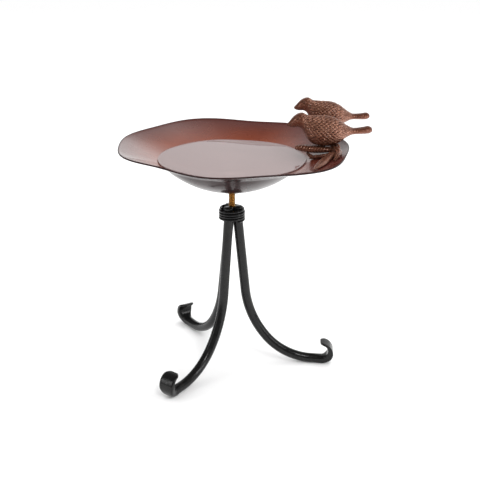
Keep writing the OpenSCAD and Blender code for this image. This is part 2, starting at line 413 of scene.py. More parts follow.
class Effects:
    """Shader node groups that more than one finish uses, each built once."""

    def __init__(self) -> None:
        """Builds all the groups."""
        self.mottle = self._mottle()
        self.surface = self._surface()
        self.patina = self._patina()

    def _mottle(self) -> bpy.types.NodeTree:
        """Cloudy change of colour over a surface.

        Returns:
            A group that puts out the mixed colour and the cloud mask.
        """
        group, graph, given, result = effect(
            "mottle",
            [
                ("Colour", "NodeSocketColor", (0.5, 0.5, 0.5)),
                ("Cloud Colour", "NodeSocketColor", (0.2, 0.2, 0.2)),
                ("Scale", "NodeSocketFloat", 40.0),
                ("Amount", "NodeSocketFloat", 0.5),
            ],
            [("Colour", "NodeSocketColor"), ("Mask", "NodeSocketFloat")],
        )
        noise = graph.add("ShaderNodeTexNoise", {
            "Vector": graph.place(), "Scale": given.outputs["Scale"], "Detail": 5.0, "Roughness": 0.6,
        }).outputs[0]
        mask = graph.ramp(noise, 0.36, 0.64)
        share = graph.math("MULTIPLY", mask, given.outputs["Amount"])
        mixed = graph.blend(share, given.outputs["Colour"], given.outputs["Cloud Colour"])
        graph.put(result.inputs["Colour"], mixed)
        graph.put(result.inputs["Mask"], mask)
        return group

    def _surface(self) -> bpy.types.NodeTree:
        """Fine unevenness that a hammer, a casting or a brush leaves, and the roughness with it.

        Returns:
            A group that puts out a height and a roughness.
        """
        group, graph, given, result = effect(
            "surface",
            [
                ("Wave Scale", "NodeSocketFloat", 60.0),
                ("Grain Scale", "NodeSocketFloat", 1500.0),
                ("Grain Share", "NodeSocketFloat", 0.2),
                ("Roughness", "NodeSocketFloat", 0.4),
                ("Roughness Spread", "NodeSocketFloat", 0.1),
            ],
            [("Height", "NodeSocketFloat"), ("Roughness", "NodeSocketFloat")],
        )
        place = graph.place()
        wave = graph.add("ShaderNodeTexNoise", {
            "Vector": place, "Scale": given.outputs["Wave Scale"], "Detail": 2.0,
        }).outputs[0]
        grain = graph.add("ShaderNodeTexNoise", {
            "Vector": place, "Scale": given.outputs["Grain Scale"], "Detail": 3.0,
        }).outputs[0]
        fine = graph.math("MULTIPLY", grain, given.outputs["Grain Share"])
        graph.put(result.inputs["Height"], graph.math("ADD", wave, fine))
        patches = graph.ramp(wave, 0.3, 0.7, -1.0, 1.0)
        patch = graph.math("MULTIPLY", patches, given.outputs["Roughness Spread"])
        graph.put(result.inputs["Roughness"], graph.math("ADD", given.outputs["Roughness"], patch))
        return group

    def _patina(self) -> bpy.types.NodeTree:
        """Dark colour in the recesses and rubbed colour on the crests of a casting.

        Returns:
            A group that puts out the colour and the crest mask.
        """
        group, graph, given, result = effect(
            "patina",
            [
                ("Recess Colour", "NodeSocketColor", (0.02, 0.01, 0.01)),
                ("Colour", "NodeSocketColor", (0.3, 0.15, 0.1)),
                ("Crest Colour", "NodeSocketColor", (0.6, 0.4, 0.3)),
                ("Crest Amount", "NodeSocketFloat", 0.6),
            ],
            [("Colour", "NodeSocketColor"), ("Crest", "NodeSocketFloat")],
        )
        relief = graph.add("ShaderNodeAttribute", attribute_name="relief").outputs["Fac"]
        shift = graph.ramp(graph.noise(graph.place(), 260.0), 0.3, 0.7, -0.07, 0.07)
        worn = graph.math("ADD", relief, shift)
        bare = graph.ramp(worn, 0.14, 0.6)
        filled = graph.blend(bare, given.outputs["Recess Colour"], given.outputs["Colour"])
        crest = graph.ramp(worn, 0.62, 1.0)
        share = graph.math("MULTIPLY", crest, given.outputs["Crest Amount"])
        graph.put(result.inputs["Colour"], graph.blend(share, filled, given.outputs["Crest Colour"]))
        graph.put(result.inputs["Crest"], crest)
        return group


@dataclass(frozen=True)
class Texture:
    """Fine unevenness of a finish.

    Waves and grains are counted per metre. The grain's height is a share of the waves', the spread is
    how far the roughness wanders, and the depth is the height of the whole.
    """

    waves: float
    grains: float
    grain_share: float
    spread: float
    depth: float


@dataclass(frozen=True)
class Finish:
    """A finish whose shader is a Principled BSDF with plain numbers on most sockets."""

    name: str
    colour: Colour
    roughness: float
    texture: Texture
    metallic: float = 0.0

    def shader(self, graph: Graph, **plain: object) -> bpy.types.Node:
        """Adds the Principled shader and the material output.

        Args:
            graph: The material's graph.
            plain: Plain values for sockets, with _ for a space.

        Returns:
            The shader node.
        """
        values = {key.replace("_", " "): value for key, value in plain.items()}
        values |= {"Base Color": self.colour, "Roughness": self.roughness, "Metallic": self.metallic}
        shader = graph.add("ShaderNodeBsdfPrincipled", values)
        graph.add("ShaderNodeOutputMaterial", {"Surface": shader.outputs[0]})
        return shader

    def start(self) -> tuple[bpy.types.Material, Graph]:
        """Starts the material.

        Returns:
            The material and its empty graph.
        """
        material = bpy.data.materials.new(self.name)
        material.use_nodes = True
        material.diffuse_color = (*self.colour, 1.0)
        return material, Graph(material.node_tree)

    def group(self, graph: Graph, tree: bpy.types.NodeTree, **values: object) -> bpy.types.Node:
        """Places a group in the material.

        Args:
            graph: The material's graph.
            tree: The group.
            values: Values of its inputs, with _ for a space.

        Returns:
            The group's node.
        """
        node = graph.add("ShaderNodeGroup", node_tree=tree)
        for key, value in values.items():
            graph.put(node.inputs[key.replace("_", " ")], value)
        return node

    def roughen(self, graph: Graph, shader: bpy.types.Node, effects: Effects) -> None:
        """Bumps the shader's normal, and changes its roughness with it where that wanders.

        Args:
            graph: The material's graph.
            shader: The Principled node.
            effects: The shared node groups.
        """
        texture = self.texture
        surface = self.group(
            graph, effects.surface, Wave_Scale=texture.waves, Grain_Scale=texture.grains,
            Grain_Share=texture.grain_share, Roughness=self.roughness, Roughness_Spread=texture.spread,
        )
        if texture.spread:
            graph.put(shader.inputs["Roughness"], surface.outputs["Roughness"])
        height = {"Height": surface.outputs["Height"], "Distance": texture.depth, "Strength": 1.0}
        graph.put(shader.inputs["Normal"], graph.add("ShaderNodeBump", height).outputs[0])


@dataclass(frozen=True)
class BlackIron(Finish):
    """Satin black paint over forged bars."""

    name: str = "black_iron"
    colour: Colour = (0.006, 0.006, 0.0063)
    roughness: float = 0.18
    texture: Texture = Texture(210.0, 2200.0, 0.25, 0.08, 0.10 * MM)
    worn: Colour = (0.011, 0.0105, 0.010)

    def build(self, effects: Effects) -> bpy.types.Material:
        """Builds the material.

        Args:
            effects: The shared node groups.

        Returns:
            The material.
        """
        material, graph = self.start()
        shader = self.shader(graph, IOR=1.33)
        mottle = self.group(
            graph, effects.mottle, Colour=self.colour, Cloud_Colour=self.worn, Scale=130.0, Amount=0.7,
        )
        graph.put(shader.inputs["Base Color"], mottle.outputs["Colour"])
        self.roughen(graph, shader, effects)
        return material


@dataclass(frozen=True)
class RodBrass(Finish):
    """Bare brass of the threaded rod, darker in the thread."""

    name: str = "rod_brass"
    colour: Colour = (0.50, 0.29, 0.085)
    roughness: float = 0.26
    texture: Texture = Texture(300.0, 3000.0, 0.2, 0.05, 0.02 * MM)
    metallic: float = 1.0
    recess: Colour = (0.30, 0.16, 0.045)
    crest: Colour = (0.66, 0.44, 0.17)

    def build(self, effects: Effects) -> bpy.types.Material:
        """Builds the material.

        Args:
            effects: The shared node groups.

        Returns:
            The material.
        """
        material, graph = self.start()
        shader = self.shader(graph)
        patina = self.group(
            graph, effects.patina, Recess_Colour=self.recess, Colour=self.colour,
            Crest_Colour=self.crest, Crest_Amount=0.5,
        )
        graph.put(shader.inputs["Base Color"], patina.outputs["Colour"])
        self.roughen(graph, shader, effects)
        return material


@dataclass(frozen=True)
class DishCopper(Finish):
    """Lacquered copper: brown inside, duller towards the rim, and nearly black outside and on the edge; its
    right end, under the perch, is painted darker as shade and dark reflection.
    """

    name: str = "dish_copper"
    colour: Colour = (0.26, 0.060, 0.026)
    roughness: float = 0.26
    texture: Texture = Texture(34.0, 900.0, 0.01, 0.05, 0.5 * MM)
    metallic: float = 0.4
    rim: Colour = (0.095, 0.026, 0.021)
    cloud: Colour = (0.17, 0.036, 0.020)
    outside: Colour = (0.016, 0.004, 0.004)
    low: float = 0.312
    high: float = 0.330
    # Painted shade and dark reflection at the dish's right end under the perch: a darker colour, less metal
    # and less coat, ramped in along X.
    right_end_shade: Colour = (0.060, 0.012, 0.010)
    right_shade_start: float = 0.080
    right_shade_end: float = 0.125
    right_shade_metallic: float = 0.1
    coat: float = 1.0
    right_shade_coat: float = 0.35
    outside_coat: float = 0.20

    def build(self, effects: Effects) -> bpy.types.Material:
        """Builds the material.

        Args:
            effects: The shared node groups.

        Returns:
            The material.
        """
        material, graph = self.start()
        shader = self.shader(graph, IOR=1.2, Coat_Roughness=0.05, Coat_IOR=1.5)
        place = graph.add("ShaderNodeSeparateXYZ", {0: graph.place()}).outputs
        height = place["Z"]
        # Mask of the painted shade and dark reflection at the dish's right end.
        right_shaded = graph.ramp(place["X"], self.right_shade_start, self.right_shade_end)
        mottle = self.group(
            graph, effects.mottle, Colour=self.colour, Cloud_Colour=self.cloud, Scale=26.0, Amount=0.5,
        )
        tone = graph.blend(graph.ramp(height, self.low, self.high), mottle.outputs["Colour"], self.rim)
        tone = graph.blend(right_shaded, tone, self.right_end_shade)
        inside = graph.add("ShaderNodeAttribute", attribute_name="relief").outputs["Fac"]
        graph.put(shader.inputs["Base Color"], graph.blend(inside, self.outside, tone))
        metal = graph.ramp(right_shaded, 0.0, 1.0, self.metallic, self.right_shade_metallic)
        graph.put(shader.inputs["Metallic"], graph.math("MULTIPLY", inside, metal))
        coat = graph.ramp(right_shaded, 0.0, 1.0, self.coat, self.right_shade_coat)
        graph.put(shader.inputs["Coat Weight"], graph.ramp(inside, 0.0, 1.0, self.outside_coat, coat))
        self.roughen(graph, shader, effects)
        return material


@dataclass(frozen=True)
class FlangeBraze(Finish):
    """Dark brown brass of the flange, mottled lighter in clouds."""

    name: str = "flange_braze"
    colour: Colour = (0.055, 0.030, 0.022)
    roughness: float = 0.42
    texture: Texture = Texture(400.0, 2500.0, 0.4, 0.1, 0.15 * MM)
    metallic: float = 0.9
    cloud: Colour = (0.13, 0.06, 0.03)

    def build(self, effects: Effects) -> bpy.types.Material:
        """Builds the material.

        Args:
            effects: The shared node groups.

        Returns:
            The material.
        """
        material, graph = self.start()
        shader = self.shader(graph)
        mottle = self.group(
            graph, effects.mottle, Colour=self.colour, Cloud_Colour=self.cloud, Scale=240.0, Amount=0.8,
        )
        graph.put(shader.inputs["Base Color"], mottle.outputs["Colour"])
        self.roughen(graph, shader, effects)
        return material


@dataclass(frozen=True)
class CastCopper(Finish):
    """Brown patinated casting of the birds and their perch, rubbed bright on the crests."""

    name: str = "cast_copper"
    colour: Colour = (0.20, 0.068, 0.036)
    roughness: float = 0.29
    texture: Texture = Texture(300.0, 2600.0, 0.1, 0.06, 0.07 * MM)
    metallic: float = 0.7
    recess: Colour = (0.020, 0.007, 0.005)
    crest: Colour = (0.50, 0.25, 0.165)
    cloud: Colour = (0.11, 0.036, 0.022)

    def build(self, effects: Effects) -> bpy.types.Material:
        """Builds the material.

        Args:
            effects: The shared node groups.

        Returns:
            The material.
        """
        material, graph = self.start()
        shader = self.shader(graph, Coat_Weight=0.45, Coat_Roughness=0.14)
        patina = self.group(
            graph, effects.patina, Recess_Colour=self.recess, Colour=self.colour,
            Crest_Colour=self.crest, Crest_Amount=0.7,
        )
        mottle = self.group(
            graph, effects.mottle, Colour=patina.outputs["Colour"], Cloud_Colour=self.cloud,
            Scale=95.0, Amount=0.45,
        )
        graph.put(shader.inputs["Base Color"], mottle.outputs["Colour"])
        self.roughen(graph, shader, effects)
        return material


@dataclass(frozen=True)
class ClearWater(Finish):
    """Still water whose half-diffuse pinkish-grey colour is a painted reflection of the bright room."""

    name: str = "still_water"
    # Pinkish-grey base colour: painted reflection of the bright room on the water.
    colour: Colour = (0.37, 0.272, 0.266)
    roughness: float = 0.03
    texture: Texture = Texture(18.0, 60.0, 0.1, 0.0, 0.12 * MM)

    def build(self, effects: Effects) -> bpy.types.Material:
        """Builds the material.

        Args:
            effects: The shared node groups.

        Returns:
            The material.
        """
        material, graph = self.start()
        shader = self.shader(graph, IOR=1.333, Transmission_Weight=0.5)
        self.roughen(graph, shader, effects)
        return material


# ---------------------------------------------------------------- stand


@dataclass
class Stand:
    """Three round bars, bent, beaten out and curled at the foot, and bound with wire at the top."""

    top: float
    rod_radius: float
    foot_reach: float = 0.125
    bar_d: float = 0.0138
    bar_gap: float = 0.0006
    upper_bend: float = 0.140
    lower_bend: float = 0.092
    gather_bend: float = 0.060
    knee: float = math.radians(40.6)
    bundle: float = 0.015
    turn: float = -5.0
    socket: float = 0.018
    strip_w: float = 0.024
    curl_h: float = 0.0355
    strip_root: float = 0.0125
    strip_tip: float = 0.003
    tread: float = 0.011
    wire_d: float = 0.0034
    wire_turns: float = 4.75
    top_chamfer: float = 0.0012
    tread_spread: float = 0.0006
    tread_flat: float = 0.35
    curl_angle: float = 186.0
    squared: float = 0.6
    swelling: float = 0.12
    wire_spacing: float = 1.08
    wire_drop: float = 0.001
    wire_play: float = 0.0001
    wire_drawn_in: float = 0.0011

    # Shares of the curl at which the strip is beaten out and at which its tip starts to narrow.
    BEATEN_BY, TIP_FROM = 0.5, 0.75
    # Node, how much farther its foot lands, and degrees by which it leaves its place in the bundle.
    LEGS = (("leg_right", -0.003, 0.2), ("leg_back_left", 0.006, 5.6), ("leg_front_left", -0.002, -2.8))

    def __post_init__(self) -> None:
        """Works out the radii that several pieces share."""
        self.bar_r = self.bar_d / 2
        self.bundle_r = (self.bar_d + self.bar_gap) / math.sqrt(3)

    def bar(self, centre: np.ndarray, lean: float, radius: float) -> tuple:
        """Section of the round bar.

        Args:
            centre: Distance from the axis and height of the bar's middle.
            lean: Angle of the bar from the vertical.
            radius: Radius of the bar there.

        Returns:
            Under side, upper side, half width and flatness.
        """
        up = radius * np.array([math.cos(lean), math.sin(lean)])
        return centre - up, centre + up, radius, 0.0

    def bend(self, centre: np.ndarray, radius: float, start: float, stop: float, steps: int) -> list[tuple]:
        """Sections round a bend.

        Args:
            centre: Centre of the bend.
            radius: Radius of the bend at the middle of the bar.
            start: Lean of the bar where the bend starts.
            stop: Lean of the bar where it ends.
            steps: Sections along the bend.

        Returns:
            The sections in order.
        """
        return [
            self.bar(centre - radius * np.array([math.cos(lean), math.sin(lean)]), lean, self.bar_r)
            for lean in np.linspace(start, stop, steps)
        ]

    def foot(self, reach: float) -> list[tuple]:
        """Sections of the tread and of the curl, where the bar is beaten out to a strip.

        Args:
            reach: Distance from the axis at which the foot meets the ground.

        Returns:
            The sections in order.
        """
        sections = []
        for share in np.linspace(0, 1, 8)[1:]:
            out = reach + self.tread * share
            upper = self.bar_d + (self.strip_root - self.bar_d) * share
            wide = self.bar_r + self.tread_spread * share
            sections.append((np.array([out, 0.0]), np.array([out, upper]), wide, self.tread_flat * share))
        outer, inner = self.curl_h / 2, (self.curl_h - self.strip_root - self.strip_tip) / 2
        root = self.bar_r + self.tread_spread
        for share in np.linspace(0, 1, 64)[1:]:
            way = math.radians(self.curl_angle * share - 90)
            way = np.array([math.cos(way), math.sin(way)])
            beaten = float(ease(share / self.BEATEN_BY))
            wide = root + (self.strip_w / 2 - root) * beaten
            tip = max(0.0, (share - self.TIP_FROM) / (1 - self.TIP_FROM))
            sections.append((
                np.array([reach + self.tread, outer]) + outer * way,
                np.array([reach + self.tread, self.strip_root + inner]) + inner * way,
                wide * math.sqrt(1 - 0.7 * tip**3),
                self.tread_flat + (1 - self.tread_flat) * beaten,
            ))
        return sections

    def sections(self, reach: float) -> list[tuple]:
        """All sections of a leg, from its sawn top to the tip of its curl.

        Args:
            reach: Distance from the axis at which the foot meets the ground.

        Returns:
            The sections in order.
        """
        low_centre = np.array([reach, self.bar_r + self.lower_bend])
        knee = np.array([math.cos(self.knee), math.sin(self.knee)])
        high_centre = low_centre + (self.upper_bend - self.lower_bend) * knee
        gather_centre = np.array([self.bundle_r + self.gather_bend, self.top - self.bundle])
        across = high_centre - gather_centre
        drop = -across[1]
        gap = math.hypot(across[0], drop)
        lean = math.acos((self.upper_bend - self.gather_bend) / gap) - math.atan2(drop, across[0])
        chamfer = self.top_chamfer
        straight = np.linspace(chamfer + 0.001, self.bundle, 12, endpoint=False)
        bundle = [
            self.bar(np.array([self.bundle_r, self.top - down]), 0.0, self.bar_r - max(0.0, chamfer - down))
            for down in (0.0, 0.0003, 0.0007, chamfer, *straight)
        ]
        return [
            *bundle,
            *self.bend(gather_centre, self.gather_bend, 0.0, lean, 8),
            *self.bend(high_centre, self.upper_bend, lean, self.knee, 34),
            *self.bend(low_centre, self.lower_bend, self.knee, math.pi / 2, 40)[1:],
            *self.foot(reach),
        ]

    def ring(self, section: tuple, sides: int) -> np.ndarray:
        """Points round one section: an oval, squared off where the bar is flat.

        Args:
            section: Under side, upper side, half width and flatness.
            sides: Points of the ring.

        Returns:
            The points in the leg's own plane.
        """
        low, high, wide, flat = section
        angle = 2 * math.pi * (np.arange(sides) + 0.5) / sides
        power = 1 - self.squared * flat
        across = np.sign(np.cos(angle)) * np.abs(np.cos(angle)) ** power
        rise = np.minimum(1, (1 + self.swelling * flat) * np.abs(np.sin(angle)) ** power)
        rise = np.sign(np.sin(angle)) * rise
        middle, up = (low + high) / 2, (high - low) / 2
        return np.stack([middle[0] + rise * up[0], wide * across, middle[1] + rise * up[1]], axis=1)

    def leg(self, name: str, more: float, splay: float, index: int) -> bpy.types.Object:
        """Builds one leg.

        Args:
            name: Name of its node in the frame.
            more: How much farther than the others its foot lands.
            splay: Degrees by which it leaves its place in the bundle.
            index: Which third of the circle it stands in.

        Returns:
            The leg.
        """
        rings = np.array([self.ring(section, 48) for section in self.sections(self.foot_reach + more)])
        step = np.array([self.bundle_r, 0, 0])
        rings = turned(rings - step, splay) + step
        rings = turned(rings, self.turn + 120 * index)
        out = np.hypot(rings[..., 0], rings[..., 1])
        bored = (rings[..., 2] > self.top - self.socket) & (out < self.rod_radius)
        grow = np.where(bored, self.rod_radius / np.maximum(out, 1e-6), 1.0)
        rings[..., :2] *= grow[..., None]
        return skin(f"{name}_bar", rings)

    def binding(self) -> bpy.types.Object:
        """Builds the binding wire: uneven turns by hand, with the last one drawn in.

        Returns:
            The wire.
        """
        per_turn = 72
        steps = round(self.wire_turns * per_turn)
        k = np.arange(steps + 1)
        turns = k / per_turn
        angle = 2 * math.pi * turns - math.radians(60)
        pitch = self.wire_d * self.wire_spacing
        low = self.top - self.wire_drop - self.wire_turns * pitch - self.wire_d / 2
        drawn_in = self.wire_drawn_in * ease(turns - (self.wire_turns - 1.2))
        out = self.bundle_r + self.bar_r + self.wire_d / 2 + self.wire_play
        by_hand = 0.00012 * np.sin(angle * 0.37 + 1.0)
        out = out - drawn_in + by_hand
        height = low + pitch * turns + 0.00014 * np.sin(angle * 0.61)
        radius = np.full_like(out, self.wire_d / 2)
        radius[[0, -1]] *= 0.7
        run = np.stack([out * np.cos(angle), out * np.sin(angle), height, radius, radius], axis=1)
        return skin("binding_wire_turns", tube_rings(run, 20))

    def build(self, finish: bpy.types.Material) -> None:
        """Builds and settles the legs and the wire.

        Args:
            finish: Their material.
        """
        for index, (name, more, splay) in enumerate(self.LEGS):
            settle(self.leg(name, more, splay, index), finish, Slot.IRON, Body.STAND, name)
        settle(self.binding(), finish, Slot.IRON, Body.STAND, "binding_wire")


def turned(points: np.ndarray, degrees: float) -> np.ndarray:
    """Points turned about the vertical axis.

    Args:
        points: Array whose last axis holds x, y and z.
        degrees: Angle to turn by.

    Returns:
        The turned points.
    """
    c, s = math.cos(math.radians(degrees)), math.sin(math.radians(degrees))
    return points @ np.array([[c, s, 0], [-s, c, 0], [0, 0, 1]])


# ---------------------------------------------------------------- rod


@dataclass
class Rod:
    """Threaded brass rod."""

    radius: float
    low: float
    high: float
    pitch: float = 0.0015875

    # Depth of the thread and width of its flats, as shares of the pitch.
    DEPTH, FLAT = 0.6134, 0.125

    def build(self, finish: bpy.types.Material) -> None:
        """Builds the rod with its real thread and settles it.

        Args:
            finish: Its material.
        """
        sides, per_pitch = 48, 12
        depth, flat = self.DEPTH * self.pitch, self.FLAT
        height = np.arange(self.low, self.high, self.pitch / per_pitch)
        height = np.append(height, self.high)
        angle = 2 * math.pi * np.arange(sides) / sides
        phase = (height[:, None] / self.pitch - angle / (2 * math.pi)) % 1.0
        tooth = np.clip(np.abs(phase - 0.5) * 2 * (1 + 2 * flat) - flat, 0, 1)
        end = np.minimum(height - self.low, self.high - height)[:, None]
        free = np.clip(depth - end, 0, depth)
        out = self.radius - np.maximum(depth * tooth, free)
        rings = np.stack([
            out * np.cos(angle), out * np.sin(angle), np.broadcast_to(height[:, None], out.shape),
        ], axis=-1)
        rod = skin("threaded_rod_brass", rings, relief=1 - tooth)
        settle(rod, finish, Slot.ROD, Body.ROD, "threaded_rod")


# ---------------------------------------------------------------- dish


@dataclass
class Dish:
    """Spun dish with a round bottom, a flare and a hand-beaten wavy rim, its flange and its water."""

    base: float
    rim_r: float = 0.161
    depth: float = 0.0615
    bowl_r: float = 0.139
    bowl_edge: float = 0.095
    sheet: float = 0.0016
    edge: float = 0.0024
    flat_r: float = 0.017
    turn_r: float = 0.028
    water_depth: float = 0.0446
    flare_lean: float = 20.0
    wavy_from: float = 0.5
    dressed_from: float = 0.97
    bowed_to: float = 0.9
    meniscus: float = 0.0005
    meniscus_reach: float = 0.0011
    water_gap: float = 0.0001

    # Each of the rim's waves: how many go round, their height in thousandths and where one crests.
    WAVES = ((1, 3.0, 2), (2, 6.6, -52), (4, 2.5, 25), (5, 4.0, -33), (7, 3.8, 2))

    def __post_init__(self) -> None:
        """Works out where the bowl turns into the flare."""
        self.sag = self.bowl_r - math.sqrt(self.bowl_r**2 - self.flat_r**2)
        start, stop = math.asin(self.bowl_edge / self.bowl_r), math.radians(self.flare_lean)
        self.turn_start = start
        self.turn_end = self.bowl_edge + self.turn_r * (math.sin(start) - math.sin(stop))
        edge_z = float(self.bowl(np.array(self.bowl_edge)))
        self.turn_z = edge_z + self.turn_r * (math.cos(stop) - math.cos(start))
        self.slope = (self.depth - self.turn_z) / (self.rim_r - self.turn_end)

    def bowl(self, r: np.ndarray) -> np.ndarray:
        """Height of the round bottom's outside at a radius."""
        inside = np.clip(r, self.flat_r, self.bowl_edge)
        return self.bowl_r - np.sqrt(self.bowl_r**2 - inside**2) - self.sag

    def profile(self, r: np.ndarray) -> np.ndarray:
        """Height of the outside above the bottom.

        Args:
            r: Radius before the rim's waves.

        Returns:
            The height.
        """
        r = np.asarray(r, float)
        reach = self.turn_r * math.sin(self.turn_start) + self.bowl_edge
        reach = reach - np.clip(r, self.bowl_edge, self.turn_end)
        turn = self.bowl(r) + np.sqrt(self.turn_r**2 - reach**2) - self.turn_r * math.cos(self.turn_start)
        flare = self.turn_z + self.slope * (r - self.turn_end)
        return np.where(r < self.bowl_edge, self.bowl(r), np.where(r < self.turn_end, turn, flare))

    def wave(self, angle: np.ndarray) -> np.ndarray:
        """How far the rim wanders from a circle in a direction, in radians."""
        return sum(
            size * MM * np.cos(count * (angle - math.radians(crest))) for count, size, crest in self.WAVES
        )

    def lobes(self, r: np.ndarray) -> np.ndarray:
        """Share of the rim's waves at a radius."""
        return ease((r / self.rim_r - self.wavy_from) / (1 - self.wavy_from))

    def surface(self, r: np.ndarray, lift: np.ndarray, sides: int) -> np.ndarray:
        """Rings on the dish.

        Args:
            r: Radius of each ring before the waves.
            lift: Height of each ring above the outside of the sheet.
            sides: Points of a ring.

        Returns:
            Points as an array of rings, sides and coordinates.
        """
        angle = 2 * math.pi * np.arange(sides) / sides
        out = r[:, None] + self.lobes(r)[:, None] * self.wave(angle)
        height = np.broadcast_to((self.base + self.profile(r) + lift)[:, None], out.shape)
        return np.stack([out * np.cos(angle), out * np.sin(angle), height], axis=-1)

    def flare(self, x: float, y: float) -> float:
        """Height of the inside of the dish over a point of the ground plan.

        Args:
            x: Place to the right of the axis.
            y: Place behind the axis.

        Returns:
            The height in the frame.
        """
        out, wave = math.hypot(x, y), float(self.wave(math.atan2(y, x)))
        guess = out - float(self.lobes(out)) * wave
        better = out - float(self.lobes(guess)) * wave
        return self.base + float(self.profile(out - float(self.lobes(better)) * wave)) + self.sheet

    def shell(self) -> bpy.types.Object:
        """Builds the dish as one closed sheet with a round dressed edge.

        Returns:
            The dish.
        """
        half = self.edge / 2
        radii = np.concatenate([
            np.linspace(HUB, self.bowl_edge, 40, endpoint=False),
            np.linspace(self.bowl_edge, self.turn_end, 14, endpoint=False),
            np.linspace(self.turn_end, self.rim_r - half, 40),
        ])
        share = radii / self.rim_r
        dressed = ease((share - self.dressed_from) / (1 - self.dressed_from))
        thick = self.sheet + (self.edge - self.sheet) * dressed
        bowed = 1 - ease((share - self.bowed_to) / (1 - self.bowed_to))
        pulled = radii - self.sheet * radii / self.bowl_r * bowed
        turn = np.linspace(math.pi / 2, -math.pi / 2, 11)[1:-1]
        edge_r = self.rim_r - half + half * np.cos(turn)
        middle = float(self.profile(np.array(self.rim_r - half))) + half
        edge_lift = middle + half * np.sin(turn) - self.profile(edge_r)
        r = np.concatenate([pulled, edge_r, radii[::-1]])
        lift = np.concatenate([thick, edge_lift, np.zeros_like(radii)])
        sides = 320
        inside = np.where(np.arange(len(r)) < len(radii) - 1, 1.0, 0.0)
        relief = np.repeat(inside, sides).reshape(-1, sides)
        return skin("dish_shell", self.surface(r, lift, sides), relief=relief)

    def flange(self, low: float, high: float, radius: float, bore: float) -> bpy.types.Object:
        """Builds the flange with a round fillet of braze where it meets the dish.

        Args:
            low: Height of its under side.
            high: Height of its upper side.
            radius: Outside radius.
            bore: Radius of its tapped hole.

        Returns:
            The flange.
        """
        soft = 0.0006
        corner = np.linspace(0, math.pi / 2, 6)
        profile = [(bore, high), (bore, low + soft / 2), (bore + soft / 2, low)]
        profile += [(radius - soft + soft * math.sin(c), low + soft - soft * math.cos(c)) for c in corner]
        profile += [(radius, high)]
        sides = 96
        angle = 2 * math.pi * np.arange(sides) / sides
        rings = np.array([[(r * math.cos(a), r * math.sin(a), z) for a in angle] for r, z in profile])
        return skin("dish_flange_disc", rings, hoop=True)

    def water(self) -> bpy.types.Object:
        """Builds the water: a flat top with a fine meniscus over a bottom that follows the dish.

        Returns:
            The water.
        """
        fine = np.linspace(self.bowl_edge, self.turn_end, 4001)
        edge = float(np.interp(self.water_depth - self.sheet, self.profile(fine), fine)) - self.sheet
        top = np.concatenate([np.linspace(HUB, edge - 0.003, 30), edge - np.linspace(0.0027, 0, 10)])
        rise = self.meniscus * bump(edge - top, self.meniscus_reach)
        lift = self.water_depth + rise - self.profile(top)
        bottom = np.linspace(edge, HUB, 40)
        r = np.concatenate([top, bottom])
        lift = np.concatenate([lift, np.full_like(bottom, self.sheet + self.water_gap)])
        return skin("water", self.surface(r, lift, 256))

    def build(self, copper: bpy.types.Material, braze: bpy.types.Material, water: bpy.types.Material) -> None:
        """Builds and settles the dish, its flange and its water.

        Args:
            copper: Finish of the sheet.
            braze: Finish of the flange.
            water: Finish of the water.
        """
        settle(self.shell(), copper, Slot.DISH, Body.DISH, "dish")
        low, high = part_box("dish_flange")
        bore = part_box("threaded_rod")[1][0] + THREAD_PLAY
        settle(self.flange(low[2], high[2], high[0], bore), braze, Slot.FLANGE, Body.DISH, "dish_flange")
        pool = self.water()
        pool.data.materials.append(water)
        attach(pool, Body.DISH.value)
        log.info("%s rides on the dish", pool.name)


# ---------------------------------------------------------------- birds


